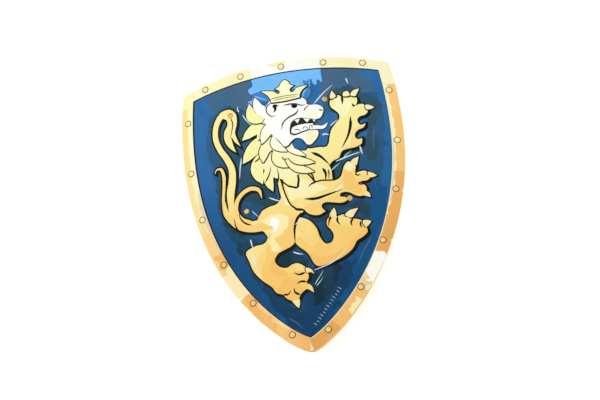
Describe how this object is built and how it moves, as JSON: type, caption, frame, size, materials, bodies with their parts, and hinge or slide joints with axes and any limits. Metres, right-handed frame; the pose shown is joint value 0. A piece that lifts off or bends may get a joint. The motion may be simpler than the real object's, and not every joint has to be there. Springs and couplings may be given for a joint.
{
  "type": "toy heater shield",
  "caption": "Curved foam toy heater shield with an arched top and pointed foot, printed gold-rimmed face, and webbing hand and forearm straps riveted across its hollow back.",
  "frame": {"origin": "centre of the overall box, on the plane of the two flat spots on which the side edges lie", "axes": "+Z out of the middle of the printed face, +Y towards the arched top edge, +X to the right seen from the front"},
  "size_m": [0.2826, 0.38, 0.0324],
  "materials": {
    "foam": "closed-cell foam with a smooth matte skin",
    "webbing": "woven polyester webbing",
    "rivet": "bright pressed brass",
    "print_field": "satin printed film",
    "print_gold": "satin printed film",
    "print_line": "satin printed film"
  },
  "bodies": {
    "root": {"shield_body": "foam", "hand_strap": "webbing", "hand_rivet_top": "rivet", "hand_rivet_bottom": "rivet", "forearm_strap": "webbing", "forearm_rivet_top": "rivet", "forearm_rivet_bottom": "rivet"}
  },
  "joints": []
}
